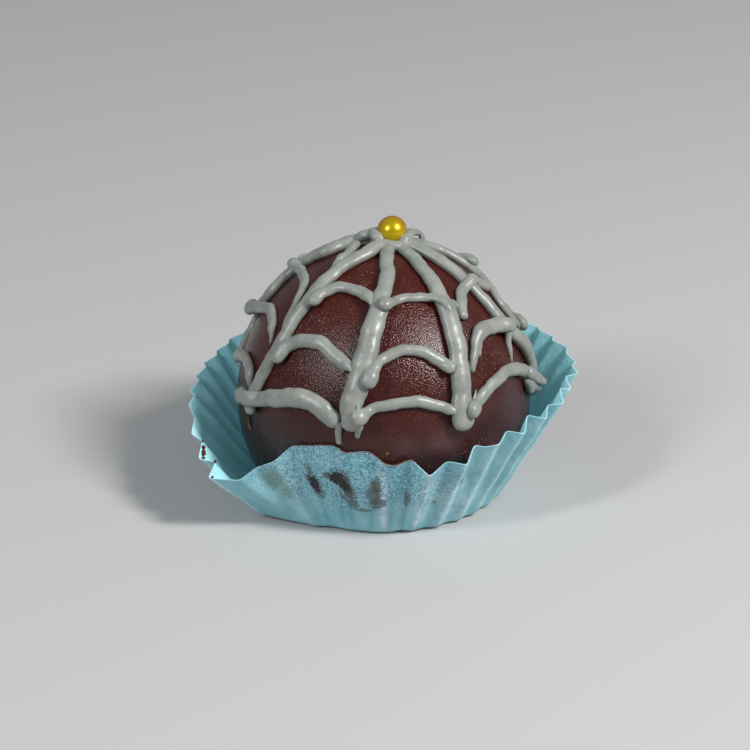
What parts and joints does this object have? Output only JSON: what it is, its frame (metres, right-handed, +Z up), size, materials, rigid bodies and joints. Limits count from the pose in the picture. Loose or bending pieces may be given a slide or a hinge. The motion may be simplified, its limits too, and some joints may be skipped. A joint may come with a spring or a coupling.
{
  "type": "chocolate truffle",
  "caption": "Chocolate-coated truffle with a piped icing web and a sugar pearl on top, sitting in a pleated paper case.",
  "frame": {"origin": "middle of the paper case's flat floor, on the surface it stands on", "axes": "+Z up through the truffle, -Y towards the side where the case is pressed flat against the ball"},
  "size_m": [0.0561, 0.051, 0.0397],
  "materials": {
    "case_paper": "greaseproof paper, matte, with grease marks",
    "chocolate": "satin tempered chocolate with a little bloom",
    "icing": "set piped icing, soft satin",
    "pearl": "pearly lustre"
  },
  "bodies": {
    "root": {"paper_case": "case_paper", "truffle_body": "chocolate", "icing_web": "icing", "sugar_pearl": "pearl"}
  },
  "joints": []
}
